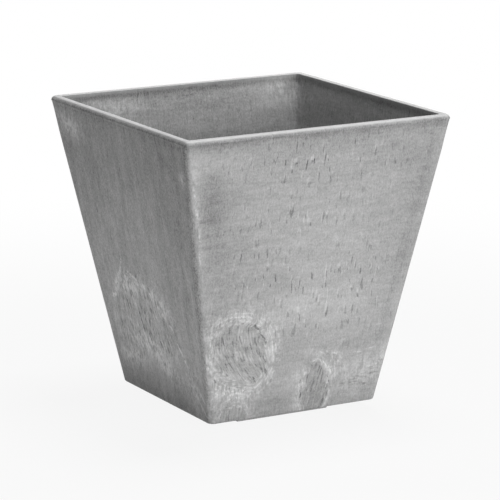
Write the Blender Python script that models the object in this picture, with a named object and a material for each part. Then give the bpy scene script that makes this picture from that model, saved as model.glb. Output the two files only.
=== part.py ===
"""Square tapered planter with a drainage insert and a rubber drain stopper.

The pot stands on four foot bars moulded under its floor. Inside it a perforated platform on four
legs keeps the soil above a shallow reservoir, and a slotted basket hangs in the platform's middle
hole. A stopper closes the drain hole from below.

Metres, +Z up. The origin is on the ground, under the middle of the pot.
"""

import math

import bmesh
import bpy
from mathutils import Matrix

# Pot shell: four leaning walls that thicken towards a rounded rim.
TOP_WIDTH = 0.250
BASE_WIDTH = 0.159
WALL_HEIGHT = 0.2475
WALL_THICKNESS = 0.004
OUTER_CORNER_RADIUS = 0.0055
INNER_CORNER_RADIUS = 0.003
BASE_EDGE_RADIUS = 0.0015
RIM_WIDTH = 0.008
RIM_DEPTH = 0.006
RIM_BLEND_DEPTH = 0.060
RIM_OUTER_RADIUS = 0.0035
RIM_INNER_RADIUS = 0.001

# Pot floor and the drain hole in it.
FLOOR_THICKNESS = 0.005
FLOOR_FILLET = 0.006
DRAIN_RADIUS = 0.007
DRAIN_BOSS_WIDTH = 0.006
DRAIN_BOSS_HEIGHT = 0.002

# Foot bars under the floor, one along each side.
FOOT_HEIGHT = 0.0074
FOOT_LENGTH = 0.087
FOOT_WIDTH = 0.009
FOOT_INSET = 0.0193
FOOT_EDGE_RADIUS = 0.001

# Drainage platform.
RESERVOIR_DEPTH = 0.034
PLATFORM_THICKNESS = 0.003
PLATFORM_CLEARANCE = 0.0015
PERFORATION_RADIUS = 0.0013
PERFORATION_PITCH = 0.017
PERFORATION_MARGIN = 0.003

# Wick basket.
BASKET_TOP_RADIUS = 0.032
BASKET_BASE_RADIUS = 0.026
BASKET_WALL = 0.002
BASKET_FLOOR_CLEARANCE = 0.003
BASKET_FLANGE_WIDTH = 0.006
BASKET_FLANGE_THICKNESS = 0.002
BASKET_SLOT_COUNT = 12
BASKET_SLOT_WIDTH = 0.003
BASKET_SLOT_MARGIN = 0.004
BASKET_HOLE_COUNT = 6
BASKET_HOLE_RADIUS = 0.0013
BASKET_HOLE_RING_RADIUS = 0.0145

# Support legs.
LEG_FOOT_RADIUS = 0.010
LEG_FOOT_THICKNESS = 0.003
LEG_FLARE_HEIGHT = 0.003
LEG_POST_RADIUS = 0.0065
LEG_BORE_RADIUS = 0.0045
LEG_SPIGOT_RADIUS = 0.004
LEG_EDGE_DISTANCE = 0.006

# Drain plug.
PLUG_FLANGE_RADIUS = 0.012
PLUG_FLANGE_THICKNESS = 0.0025
PLUG_GRIP_RADIUS = 0.005
PLUG_GRIP_HEIGHT = 0.0025
PLUG_WALL = 0.002
PLUG_DISH_DEPTH = 0.004

# Gap between pieces that touch, how far a cutter runs past what it cuts, and the distance under
# which points are one.
FIT_GAP = 0.0003
OVERCUT = 0.002
MERGE_DISTANCE = 0.000001

# How finely round shapes are divided.
CORNER_STEPS = 6
EDGE_STEPS = 4
TURNED_STEPS = 32
LEG_STEPS = 24
HOLE_STEPS = 12
SMOOTH_ANGLE = math.radians(35)

# Finishes: linear RGB colours and how rough each surface is.
STONE_GREY = (0.38, 0.38, 0.38)
STONE_ROUGHNESS = 0.62
PLASTIC_BLACK = (0.03, 0.03, 0.032)
PLASTIC_ROUGHNESS = 0.45
RUBBER_BLACK = (0.02, 0.02, 0.02)
RUBBER_ROUGHNESS = 0.7

# Heights above the ground.
FLOOR_TOP = FOOT_HEIGHT + FLOOR_THICKNESS
RIM_TOP = FOOT_HEIGHT + WALL_HEIGHT
PLATFORM_BOTTOM = FLOOR_TOP + RESERVOIR_DEPTH
PLATFORM_TOP = PLATFORM_BOTTOM + PLATFORM_THICKNESS
BASKET_BOTTOM = FLOOR_TOP + DRAIN_BOSS_HEIGHT + BASKET_FLOOR_CLEARANCE
BASKET_FLANGE_BOTTOM = PLATFORM_TOP + FIT_GAP
BASKET_FLANGE_TOP = BASKET_FLANGE_BOTTOM + BASKET_FLANGE_THICKNESS

# The walls' lean: how far the outer face moves out for each metre up.
LEAN = (TOP_WIDTH - BASE_WIDTH) / 2 / WALL_HEIGHT
WALL_ACROSS = WALL_THICKNESS * math.hypot(1, LEAN)


def outer_half_width(height):
    """Half the pot's outer width at a height above the ground."""
    return BASE_WIDTH / 2 + LEAN * (height - FOOT_HEIGHT)


def inner_half_width(height):
    """Half the width between the walls' inner faces at a height above the ground."""
    return outer_half_width(height) - WALL_ACROSS


def clear_scene():
    """Remove every object that is already there."""
    for obj in list(bpy.data.objects):
        bpy.data.objects.remove(obj, do_unlink=True)


def make_material(name, colour, roughness):
    """A plain opaque finish with a linear RGB colour."""
    material = bpy.data.materials.new(name)
    material.use_nodes = True
    shader = material.node_tree.nodes["Principled BSDF"]
    shader.inputs["Base Color"].default_value = (*colour, 1.0)
    shader.inputs["Roughness"].default_value = roughness
    shader.inputs["Metallic"].default_value = 0.0
    return material


def make_object(name, bm, material=None):
    """Turn a bmesh into a named object with its faces pointing out."""
    bmesh.ops.recalc_face_normals(bm, faces=bm.faces)
    mesh = bpy.data.meshes.new(name)
    bm.to_mesh(mesh)
    bm.free()
    mesh.shade_smooth()
    mesh.set_sharp_from_angle(angle=SMOOTH_ANGLE)
    if material:
        mesh.materials.append(material)
    obj = bpy.data.objects.new(name, mesh)
    bpy.context.scene.collection.objects.link(obj)
    return obj


def make_tool(name, bm):
    """A helper shape that cuts or joins, and isn't a piece itself."""
    tool = make_object(name, bm)
    tool.hide_render = True
    tool.display_type = "WIRE"
    return tool


def apply_shape(obj, tool, operation):
    """Cut the tool's shape from the object, or join it on."""
    modifier = obj.modifiers.new(tool.name, "BOOLEAN")
    modifier.operation = operation
    modifier.solver = "EXACT"
    modifier.object = tool


def rounded_square(bm, half_width, radius, height):
    """Add a square ring of points with rounded corners and return them in order."""
    middle = half_width - radius
    corners = [(middle, middle), (-middle, middle), (-middle, -middle), (middle, -middle)]
    points = []
    for quarter, (x, y) in enumerate(corners):
        for step in range(CORNER_STEPS + 1):
            angle = (quarter + step / CORNER_STEPS) * math.pi / 2
            points.append((x + radius * math.cos(angle), y + radius * math.sin(angle), height))
    return [bm.verts.new(point) for point in points]


def loft(rings):
    """A closed body through rounded square rings, given as (half width, radius, height)."""
    bm = bmesh.new()
    loops = [rounded_square(bm, *ring) for ring in rings]
    for lower, upper in zip(loops, loops[1:]):
        for i in range(len(lower)):
            bm.faces.new((lower[i - 1], lower[i], upper[i], upper[i - 1]))
    for end in (loops[0], loops[-1]):
        bm.faces.new(end)
    return bm


def turn(profile, steps=TURNED_STEPS):
    """Turn a half profile of (radius, height) points about the Z axis."""
    bm = bmesh.new()
    verts = [bm.verts.new((radius, 0, height)) for radius, height in profile]
    edges = [bm.edges.new(pair) for pair in zip(verts, verts[1:])]
    if profile[0][0] > 0:
        edges.append(bm.edges.new((verts[-1], verts[0])))
    bmesh.ops.spin(
        bm,
        geom=verts + edges,
        axis=(0, 0, 1),
        cent=(0, 0, 0),
        angle=math.tau,
        steps=steps,
        use_merge=True,
    )
    bmesh.ops.remove_doubles(bm, verts=bm.verts, dist=MERGE_DISTANCE)
    return bm


def add_cylinder(bm, radius, centre, bottom, top, steps=HOLE_STEPS):
    """Add an upright cylinder between two heights at centre (x, y)."""
    place = Matrix.Translation((*centre, (bottom + top) / 2))
    bmesh.ops.create_cone(
        bm,
        cap_ends=True,
        segments=steps,
        radius1=radius,
        radius2=radius,
        depth=top - bottom,
        matrix=place,
    )


def arc(centre, radius, start, end):
    """Points along an arc in a wall's cross-section, as (distance from axis, height)."""
    points = []
    for step in range(EDGE_STEPS + 1):
        angle = math.radians(start + (end - start) * step / EDGE_STEPS)
        points.append((centre[0] + radius * math.cos(angle), centre[1] + radius * math.sin(angle)))
    return points


def outer_rings():
    """The shell's rings from the floor's underside up its outer face to the rim's top."""
    lean_angle = math.degrees(math.atan(LEAN))
    base_centre = (
        outer_half_width(FOOT_HEIGHT + BASE_EDGE_RADIUS) - BASE_EDGE_RADIUS * math.hypot(1, LEAN),
        FOOT_HEIGHT + BASE_EDGE_RADIUS,
    )
    rim_centre = (
        outer_half_width(RIM_TOP - RIM_OUTER_RADIUS) - RIM_OUTER_RADIUS * math.hypot(1, LEAN),
        RIM_TOP - RIM_OUTER_RADIUS,
    )
    section = arc(base_centre, BASE_EDGE_RADIUS, -90, -lean_angle)
    section += arc(rim_centre, RIM_OUTER_RADIUS, -lean_angle, 90)
    return [(half, OUTER_CORNER_RADIUS, height) for half, height in section]


def inner_rings():
    """The shell's rings from the rim's top down its inner face to the floor."""
    mouth_half = TOP_WIDTH / 2 - RIM_WIDTH
    rim_centre = (mouth_half + RIM_INNER_RADIUS, RIM_TOP - RIM_INNER_RADIUS)
    section = arc(rim_centre, RIM_INNER_RADIUS, 90, 180)
    section.append((mouth_half, RIM_TOP - RIM_DEPTH))
    blend_height = RIM_TOP - RIM_BLEND_DEPTH
    section.append((inner_half_width(blend_height), blend_height))
    fillet_height = FLOOR_TOP + FLOOR_FILLET
    fillet_centre = (
        inner_half_width(fillet_height) - FLOOR_FILLET * math.hypot(1, LEAN),
        fillet_height,
    )
    section += arc(fillet_centre, FLOOR_FILLET, -math.degrees(math.atan(LEAN)), -90)
    return [(half, INNER_CORNER_RADIUS, height) for half, height in section]


def drain_boss():
    """The raised ring round the drain hole, sunk into the floor it stands on."""
    bm = bmesh.new()
    radius = DRAIN_RADIUS + DRAIN_BOSS_WIDTH
    add_cylinder(bm, radius, (0, 0), FLOOR_TOP - OVERCUT, FLOOR_TOP + DRAIN_BOSS_HEIGHT, TURNED_STEPS)
    return make_tool("drain_boss", bm)


def drain_hole():
    """The bore through the floor and its boss."""
    bm = bmesh.new()
    top = FLOOR_TOP + DRAIN_BOSS_HEIGHT + OVERCUT
    add_cylinder(bm, DRAIN_RADIUS, (0, 0), FOOT_HEIGHT - OVERCUT, top, TURNED_STEPS)
    return make_tool("drain_hole", bm)


def foot_bar(side):
    """One foot bar, rounded on its lower and upright edges, along one of the pot's four sides."""
    bm = bmesh.new()
    bmesh.ops.create_cube(bm, size=1)
    height = FOOT_HEIGHT + FLOOR_THICKNESS / 2
    bmesh.ops.scale(bm, vec=(FOOT_LENGTH, FOOT_WIDTH, height), verts=bm.verts)
    away = BASE_WIDTH / 2 - FOOT_INSET - FOOT_WIDTH / 2
    bmesh.ops.translate(bm, vec=(0, -away, height / 2), verts=bm.verts)
    shown = [edge for edge in bm.edges if min(vert.co.z for vert in edge.verts) < height / 2]
    bmesh.ops.bevel(
        bm,
        geom=shown,
        offset=FOOT_EDGE_RADIUS,
        segments=2,
        profile=0.5,
        affect="EDGES",
    )
    bmesh.ops.rotate(bm, matrix=Matrix.Rotation(side * math.pi / 2, 3, "Z"), verts=bm.verts)
    return make_tool(f"foot_bar_{side + 1}", bm)


def make_pot_shell(material):
    """The moulded pot: walls, rounded rim, floor with its drain hole, and four foot bars."""
    shell = make_object("pot_shell", loft(outer_rings() + inner_rings()), material)
    for side in range(4):
        apply_shape(shell, foot_bar(side), "UNION")
    apply_shape(shell, drain_boss(), "UNION")
    apply_shape(shell, drain_hole(), "DIFFERENCE")
    return shell


def leg_distance():
    """How far each leg stands from the pot's middle, along X and along Y."""
    flat_half_width = inner_half_width(FLOOR_TOP) - FLOOR_FILLET
    return flat_half_width - LEG_EDGE_DISTANCE - LEG_FOOT_RADIUS


def leg_places():
    """The four legs' centres, as (x, y)."""
    away = leg_distance()
    return [(x * away, y * away) for x, y in ((1, 1), (-1, 1), (-1, -1), (1, -1))]


def perforation_places():
    """Centres of the platform's perforations: a square grid clear of the basket, legs and edge."""
    reach = inner_half_width(PLATFORM_BOTTOM) - PLATFORM_CLEARANCE - PERFORATION_MARGIN
    count = int((reach - PERFORATION_RADIUS) / PERFORATION_PITCH)
    room_at_basket = BASKET_TOP_RADIUS + BASKET_FLANGE_WIDTH + PERFORATION_RADIUS
    room_at_leg = LEG_POST_RADIUS + PERFORATION_RADIUS
    places = []
    for column in range(-count, count + 1):
        for row in range(-count, count + 1):
            place = (column * PERFORATION_PITCH, row * PERFORATION_PITCH)
            leg_gap = min(math.dist(place, leg) for leg in leg_places()) - room_at_leg
            basket_gap = math.hypot(*place) - room_at_basket
            if min(leg_gap, basket_gap) > PERFORATION_MARGIN:
                places.append(place)
    return places


def platform_cutter():
    """Every hole through the platform: the basket's, the legs' and the perforations."""
    bottom = PLATFORM_BOTTOM - OVERCUT
    top = PLATFORM_TOP + OVERCUT
    bm = bmesh.new()
    add_cylinder(bm, BASKET_TOP_RADIUS + FIT_GAP, (0, 0), bottom, top, TURNED_STEPS)
    for place in leg_places():
        add_cylinder(bm, LEG_SPIGOT_RADIUS + FIT_GAP, place, bottom, top)
    for place in perforation_places():
        add_cylinder(bm, PERFORATION_RADIUS, place, bottom, top)
    return make_tool("platform_cutter", bm)


def make_platform(material):
    """The perforated plate, its edge leaning as the walls do."""
    rings = []
    for height in (PLATFORM_BOTTOM, PLATFORM_TOP):
        half_width = inner_half_width(height) - PLATFORM_CLEARANCE
        rings.append((half_width, INNER_CORNER_RADIUS, height))
    platform = make_object("drainage_platform", loft(rings), material)
    apply_shape(platform, platform_cutter(), "DIFFERENCE")
    return platform


def basket_cutter():
    """Upright slots round the basket's side and round holes in its floor."""
    bm = bmesh.new()
    inside_floor = BASKET_BOTTOM + BASKET_WALL
    slot_bottom = inside_floor + BASKET_SLOT_MARGIN
    slot_top = PLATFORM_BOTTOM - BASKET_SLOT_MARGIN
    slot_inner = BASKET_BASE_RADIUS - BASKET_WALL - OVERCUT
    slot_outer = BASKET_TOP_RADIUS + OVERCUT
    for slot in range(BASKET_SLOT_COUNT):
        made = bmesh.ops.create_cube(bm, size=1)["verts"]
        size = (slot_outer - slot_inner, BASKET_SLOT_WIDTH, slot_top - slot_bottom)
        bmesh.ops.scale(bm, vec=size, verts=made)
        middle = ((slot_inner + slot_outer) / 2, 0, (slot_bottom + slot_top) / 2)
        bmesh.ops.translate(bm, vec=middle, verts=made)
        turned = Matrix.Rotation(slot * math.tau / BASKET_SLOT_COUNT, 3, "Z")
        bmesh.ops.rotate(bm, matrix=turned, verts=made)
    for hole in range(BASKET_HOLE_COUNT):
        angle = hole * math.tau / BASKET_HOLE_COUNT
        place = (
            BASKET_HOLE_RING_RADIUS * math.cos(angle),
            BASKET_HOLE_RING_RADIUS * math.sin(angle),
        )
        add_cylinder(bm, BASKET_HOLE_RADIUS, place, BASKET_BOTTOM - OVERCUT, inside_floor + OVERCUT)
    return make_tool("basket_cutter", bm)


def make_basket(material):
    """The slotted cup that hangs by its flange in the platform's middle hole."""
    flange_radius = BASKET_TOP_RADIUS + BASKET_FLANGE_WIDTH
    inside_floor = BASKET_BOTTOM + BASKET_WALL
    profile = [
        (0, BASKET_BOTTOM),
        (BASKET_BASE_RADIUS, BASKET_BOTTOM),
        (BASKET_TOP_RADIUS, BASKET_FLANGE_BOTTOM),
        (flange_radius, BASKET_FLANGE_BOTTOM),
        (flange_radius, BASKET_FLANGE_TOP),
        (BASKET_TOP_RADIUS - BASKET_WALL, BASKET_FLANGE_TOP),
        (BASKET_BASE_RADIUS - BASKET_WALL, inside_floor),
        (0, inside_floor),
    ]
    basket = make_object("wick_basket", turn(profile), material)
    apply_shape(basket, basket_cutter(), "DIFFERENCE")
    return basket


def make_legs(material):
    """Four equal turned legs, each standing on the floor with its spigot in the platform."""
    shoulder = RESERVOIR_DEPTH - FIT_GAP
    spigot_top = RESERVOIR_DEPTH + PLATFORM_THICKNESS
    bore_top = shoulder - (LEG_POST_RADIUS - LEG_BORE_RADIUS)
    profile = [
        (0, spigot_top),
        (LEG_SPIGOT_RADIUS, spigot_top),
        (LEG_SPIGOT_RADIUS, shoulder),
        (LEG_POST_RADIUS, shoulder),
        (LEG_POST_RADIUS, LEG_FOOT_THICKNESS + LEG_FLARE_HEIGHT),
        (LEG_FOOT_RADIUS, LEG_FOOT_THICKNESS),
        (LEG_FOOT_RADIUS, FIT_GAP),
        (LEG_BORE_RADIUS, FIT_GAP),
        (LEG_BORE_RADIUS, bore_top),
        (0, bore_top),
    ]
    legs = []
    for number, place in enumerate(leg_places(), start=1):
        leg = make_object(f"support_leg_{number}", turn(profile, LEG_STEPS), material)
        leg.location = (*place, FLOOR_TOP)
        legs.append(leg)
    return legs


def make_plug(material):
    """The rubber stopper: a dished stem in the drain hole, a flange under the floor and a grip."""
    stem_radius = DRAIN_RADIUS - FIT_GAP
    stem_top = FLOOR_THICKNESS + DRAIN_BOSS_HEIGHT
    flange_bottom = -FIT_GAP - PLUG_FLANGE_THICKNESS
    grip_bottom = flange_bottom - PLUG_GRIP_HEIGHT
    dish_radius = stem_radius - PLUG_WALL
    dish_bottom = stem_top - PLUG_DISH_DEPTH
    profile = [
        (0, grip_bottom),
        (PLUG_GRIP_RADIUS, grip_bottom),
        (PLUG_GRIP_RADIUS, flange_bottom),
        (PLUG_FLANGE_RADIUS, flange_bottom),
        (PLUG_FLANGE_RADIUS, -FIT_GAP),
        (stem_radius, -FIT_GAP),
        (stem_radius, stem_top),
        (dish_radius, stem_top),
        (dish_radius, dish_bottom),
        (0, dish_bottom),
    ]
    plug = make_object("drain_plug", turn(profile), material)
    plug.location.z = FOOT_HEIGHT
    return plug


def hang_on_axis(name, height, pieces):
    """Parent pieces to an empty that stands on the axis they lift along."""
    empty = bpy.data.objects.new(name, None)
    empty.location.z = height
    bpy.context.scene.collection.objects.link(empty)
    for piece in pieces:
        piece.parent = empty
        piece.location.z -= height


def main():
    """Build the pot, the insert that lifts out of it, and its stopper."""
    clear_scene()
    stone = make_material("stone_filled_resin", STONE_GREY, STONE_ROUGHNESS)
    plastic = make_material("black_polypropylene", PLASTIC_BLACK, PLASTIC_ROUGHNESS)
    rubber = make_material("black_rubber", RUBBER_BLACK, RUBBER_ROUGHNESS)
    make_pot_shell(stone)
    insert = [make_platform(plastic), make_basket(plastic), *make_legs(plastic)]
    hang_on_axis("insert_axis", PLATFORM_BOTTOM, insert)
    make_plug(rubber)


main()
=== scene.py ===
"""Looks of a square tapered planter pot with a drainage insert and a rubber drain stopper.

The pot is moulded from resin filled with stone powder. Its finish shows how it was pressed: cloudy
patches, short slits in the skin, and whorls like thumbprints where the hot mix folded over.
Lengths are metres, except where a name says mm. Walls are read from outside: `across` runs to the
reader's right along the wall, and `height` runs up from the ground.
"""

import logging
import math
from collections.abc import Callable, Iterable, Iterator, Sequence
from contextlib import contextmanager
from dataclasses import dataclass, field
from enum import Enum
from functools import reduce

import bmesh
import bpy
import numpy as np
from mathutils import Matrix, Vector


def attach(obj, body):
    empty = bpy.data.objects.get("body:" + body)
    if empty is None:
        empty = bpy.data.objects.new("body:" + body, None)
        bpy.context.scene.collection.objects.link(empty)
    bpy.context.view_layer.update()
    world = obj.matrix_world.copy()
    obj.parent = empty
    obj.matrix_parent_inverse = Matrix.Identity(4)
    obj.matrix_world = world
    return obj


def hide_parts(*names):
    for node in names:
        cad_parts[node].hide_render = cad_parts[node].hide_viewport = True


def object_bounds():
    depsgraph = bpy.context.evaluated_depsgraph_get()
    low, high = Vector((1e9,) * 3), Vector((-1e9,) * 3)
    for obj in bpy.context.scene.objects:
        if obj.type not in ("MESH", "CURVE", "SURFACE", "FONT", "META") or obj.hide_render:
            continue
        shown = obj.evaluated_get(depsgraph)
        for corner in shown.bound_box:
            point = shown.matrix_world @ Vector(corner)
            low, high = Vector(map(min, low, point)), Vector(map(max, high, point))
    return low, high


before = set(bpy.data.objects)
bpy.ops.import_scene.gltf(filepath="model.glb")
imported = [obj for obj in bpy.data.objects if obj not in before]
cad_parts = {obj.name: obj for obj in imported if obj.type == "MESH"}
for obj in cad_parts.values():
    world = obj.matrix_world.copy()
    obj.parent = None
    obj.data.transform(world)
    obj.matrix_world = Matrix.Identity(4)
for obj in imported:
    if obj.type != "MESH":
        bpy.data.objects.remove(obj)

Pair = tuple[float, float]
Place = tuple[float, float, float]
Material = bpy.types.Material
Node = bpy.types.Node
Piece = bpy.types.Object
Socket = bpy.types.NodeSocket
Tree = bpy.types.NodeTree

log = logging.getLogger("planter")

MM = 0.001
SAME_PLACE = 0.00005
SMOOTH_BELOW_DEG = 35
ROUND_SIDES = 64
# These spread Blender's noise, which lies mostly between 0.25 and 0.75, from about -1 to 1.
NOISE_GAIN = 4.0
NOISE_SHIFT = -2.0
CAD_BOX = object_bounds()


# Small tools -------------------------------------------------------------------------------------


class Element(Enum):
    """What an edit-mode selection picks."""

    FACES = "FACE"
    EDGES = "EDGE"


class Joining(Enum):
    """How a tool shape changes a piece."""

    ADD = "UNION"
    CUT = "DIFFERENCE"


def activate(piece: Piece) -> None:
    """Select one piece alone and make it active."""
    bpy.ops.object.select_all(action="DESELECT")
    piece.select_set(True)
    bpy.context.view_layer.objects.active = piece


@contextmanager
def editing() -> Iterator[None]:
    """Edit the active piece's mesh for the length of a with block."""
    bpy.ops.object.mode_set(mode="EDIT")
    yield
    bpy.ops.object.mode_set(mode="OBJECT")


def add_box(size: Sequence[float], middle: Sequence[float]) -> Piece:
    """A box of a given size round its middle."""
    bpy.ops.mesh.primitive_cube_add(size=1, location=middle)
    bpy.context.object.scale = size
    bpy.ops.object.transform_apply(location=True, scale=True)
    return bpy.context.object


def add_cylinder(radius: float, low: float, high: float) -> Piece:
    """An upright cylinder on the pot's middle line, from one height to another."""
    middle = (0, 0, (low + high) / 2)
    bpy.ops.mesh.primitive_cylinder_add(
        vertices=ROUND_SIDES, radius=radius, depth=high - low, location=middle
    )
    bpy.ops.object.transform_apply(location=True)
    return bpy.context.object


def pick(piece: Piece, element: Element, test: Callable[[object], bool]) -> None:
    """Select the faces or edges of a piece in edit mode that pass a test.

    Args:
        piece: The piece being edited.
        element: Whether faces or edges are picked.
        test: Says of one face or edge whether it is picked.
    """
    bpy.ops.mesh.select_mode(type=element.value)
    bpy.ops.mesh.select_all(action="DESELECT")
    mesh = bmesh.from_edit_mesh(piece.data)
    for item in mesh.faces if element is Element.FACES else mesh.edges:
        if test(item):
            item.select_set(True)
    bmesh.update_edit_mesh(piece.data)


def at_height(height: float) -> Callable[[object], bool]:
    """A test that passes faces and edges lying flat at one height."""
    return lambda item: all(abs(vert.co.z - height) < SAME_PLACE for vert in item.verts)


def round_off(width: float, steps: int, fullness: float = 0.5) -> None:
    """Round the picked edges; a fullness of 0.5 gives a true arc, and 0.25 a flat chamfer."""
    bpy.ops.mesh.bevel(
        offset=width, segments=steps, profile=fullness, affect="EDGES", clamp_overlap=True
    )


def merge_shape(piece: Piece, tool: Piece, joining: Joining) -> None:
    """Add a tool shape to a piece, or cut it away, and remove the tool.

    Args:
        piece: The piece that is changed.
        tool: The shape that is added or cut.
        joining: Whether it is added or cut.
    """
    activate(piece)
    modifier = piece.modifiers.new("joining", "BOOLEAN")
    modifier.operation = joining.value
    modifier.solver = "EXACT"
    modifier.object = tool
    bpy.ops.object.modifier_apply(modifier=modifier.name)
    bpy.data.objects.remove(tool)


def finish_piece(piece: Piece, body: str, node: str) -> None:
    """Shade a piece, hang it on the empty of the body that it moves with, and hide the plain solid that it
    stands for.

    Args:
        piece: The finished piece.
        body: The body that it moves with.
        node: The plain solid that it stands for.
    """
    activate(piece)
    bpy.ops.object.shade_smooth_by_angle(angle=math.radians(SMOOTH_BELOW_DEG))
    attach(piece, body)
    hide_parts(node)
    log.info("%s: %d faces, rides on %s", piece.name, len(piece.data.polygons), body)


# Finishes ----------------------------------------------------------------------------------------


def linear_rgb(hex_colour: str) -> tuple[float, float, float, float]:
    """Turn an sRGB hex colour such as "8a8a8a" into linear red, green, blue and alpha."""
    channels = [int(hex_colour[i : i + 2], 16) / 255 for i in (0, 2, 4)]
    straight = [c / 12.92 if c <= 0.04045 else ((c + 0.055) / 1.055) ** 2.4 for c in channels]
    return (*straight, 1.0)


def add_node(tree: Tree, kind: str, settings: dict | None = None, inputs: dict | None = None) -> Node:
    """Add a shader node.

    Args:
        tree: The node tree that gets it.
        kind: The node's type name.
        settings: Values of the node's own properties.
        inputs: Input name or number to a value, or to the output socket that feeds it.

    Returns:
        The new node.
    """
    node = tree.nodes.new(kind)
    for name, value in (settings or {}).items():
        setattr(node, name, value)
    for name, value in (inputs or {}).items():
        if isinstance(value, Socket):
            tree.links.new(value, node.inputs[name])
        else:
            node.inputs[name].default_value = value
    return node


def calculate(tree: Tree, operation: str, *values: Socket | float) -> Socket:
    """The result of one operation, such as "MULTIPLY" or "SINE", on signals and numbers."""
    return add_node(tree, "ShaderNodeMath", {"operation": operation}, dict(enumerate(values))).outputs[0]


def times(tree: Tree, first: Socket, second: Socket) -> Socket:
    """The product of two signals."""
    return calculate(tree, "MULTIPLY", first, second)


def weigh(tree: Tree, signals: Sequence[tuple[Socket, float]], start: float = 0.0) -> Socket:
    """The sum of a start value and of signals, each times its weight."""
    total = start
    for socket, weight in signals:
        total = calculate(tree, "MULTIPLY_ADD", socket, weight, total)
    return total


def ramp(tree: Tree, value: Socket, low: float, high: float) -> Socket:
    """A soft step from 0 at low to 1 at high; it falls where low is above high."""
    inputs = {"Value": value, "From Min": low, "From Max": high}
    step = add_node(tree, "ShaderNodeMapRange", {"interpolation_type": "SMOOTHSTEP"}, inputs)
    return step.outputs["Result"]


def add_noise(tree: Tree, place: Socket, scale: float, detail: float, warp: float = 0.0) -> Socket:
    """Noise from 0 to 1 whose features have a size of about 1 / scale."""
    inputs = {"Vector": place, "Scale": scale, "Detail": detail, "Distortion": warp}
    return add_node(tree, "ShaderNodeTexNoise", {}, inputs).outputs["Fac"]


def new_material(name: str) -> tuple[Material, Tree, Node]:
    """A new material, its node tree and its surface shader."""
    material = bpy.data.materials.new(name)
    material.use_nodes = True
    return material, material.node_tree, material.node_tree.nodes["Principled BSDF"]


def dress_surface(
    tree: Tree,
    shader: Node,
    colours: tuple[Socket, str, str],
    rough: Socket,
    bump: tuple[Socket, float, float],
    ior: float,
) -> None:
    """Give a surface its colours, its gloss and its fine relief.

    Args:
        tree: The node tree.
        shader: The surface shader.
        colours: The tone, and the colours where it is 0 and 1.
        rough: The roughness.
        bump: The relief, how strongly it shows, and how far it stands out in millimetres.
        ior: The index of refraction.
    """
    tone, dark, pale = colours
    relief, strength, reach_mm = bump
    colour = add_node(tree, "ShaderNodeValToRGB", {}, {"Fac": tone})
    colour.color_ramp.elements[0].color = linear_rgb(dark)
    colour.color_ramp.elements[1].color = linear_rgb(pale)
    inputs = {"Strength": strength, "Distance": reach_mm * MM, "Height": relief}
    normal = add_node(tree, "ShaderNodeBump", {}, inputs)
    shader.inputs["IOR"].default_value = ior
    tree.links.new(colour.outputs["Color"], shader.inputs["Base Color"])
    tree.links.new(rough, shader.inputs["Roughness"])
    tree.links.new(normal.outputs["Normal"], shader.inputs["Normal"])


class Ground(Enum):
    """What a pattern is drawn on, by the name of the attribute that holds it."""

    MIX = "flow"
    WALL = "place"


@dataclass(frozen=True)
class Noise:
    """Noise from about -1 to 1 whose features have a given size along and up the wall.

    Args:
        size_mm: Size of a feature along the wall, and up it.
        detail: Octaves of finer detail.
        warp: How much the features wander, in their own sizes.
        ground: Whether they follow the mix, as the whorls bent it, or stay square to the wall.
        aside_mm: How far the whole pattern is moved along the wall.
    """

    size_mm: Pair
    detail: float
    warp: float = 0.2
    ground: Ground = Ground.MIX
    aside_mm: float = 0.0

    def build(self, tree: Tree) -> Socket:
        """Make the pattern."""
        along, up = (size * MM for size in self.size_mm)
        aside = self.aside_mm * MM / along
        origin = add_node(tree, "ShaderNodeAttribute", {"attribute_name": self.ground.value})
        inputs = {0: origin.outputs["Vector"], 1: (1 / along, 1 / along, 1 / up), 2: (aside, aside, 0.0)}
        place = add_node(tree, "ShaderNodeVectorMath", {"operation": "MULTIPLY_ADD"}, inputs)
        noise = add_noise(tree, place.outputs[0], 1.0, self.detail, self.warp)
        return weigh(tree, [(noise, NOISE_GAIN)], NOISE_SHIFT)


# The patterns in the skin of the stone-filled resin.
PATTERNS = {
    "grain": Noise((1.0, 1.8), 2.0),
    "speck": Noise((0.8, 0.8), 1.0),
    "cloud": Noise((40.0, 40.0), 3.0),
    "wave": Noise((46.0, 9.0), 2.0, 0.8),
    "ripple": Noise((15.0, 3.0), 2.0, 0.8),
    "streak": Noise((7.0, 60.0), 2.0, 0.4),
    "fibre": Noise((1.8, 12.0), 2.0),
    "stroke": Noise((1.8, 19.0), 1.0),
    "dent": Noise((2.1, 17.0), 0.0, 0.0),
    "dent_lip": Noise((2.1, 17.0), 0.0, 0.0, Ground.MIX, 1.1),
    "slide": Noise((11.0, 1.8), 1.0),
    "mottle": Noise((4.6, 3.4), 2.0, 0.6, Ground.WALL),
    "feather": Noise((2.4, 4.5), 3.0, 0.5, Ground.WALL),
    "tuft": Noise((8.0, 10.0), 2.0, 0.2, Ground.WALL),
    "ragged": Noise((3.5, 3.5), 3.0, 0.2, Ground.WALL),
}

# What `MouldedSkin` says of each point: how far it lies from the marks, and how strong they are.
ATTRIBUTES = (
    "depth", "strokes", "bloom", "core", "tone", "slits", "dashes",
    "powdery", "contrast", "upright", "nick_away", "vein_away",
)

# Sums of patterns and attributes, with the weight of each part.
MIXES = {
    "powder": {"grain": 0.100, "speck": 0.045},
    "level": {"wave": 0.038, "ripple": 0.048},
    "standing": {"streak": 0.05},
    "torn_depth": {"depth": 1.0, "ragged": 2.0},
    "broken": {"feather": 0.6, "fibre": 0.3, "tuft": 0.5},
    "turns": {"depth": 1.9, "ragged": 1.3},
    "near_nick": {"nick_away": 1.0, "speck": 0.12},
    "near_vein": {"vein_away": 1.0, "speck": 0.3},
}

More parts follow.
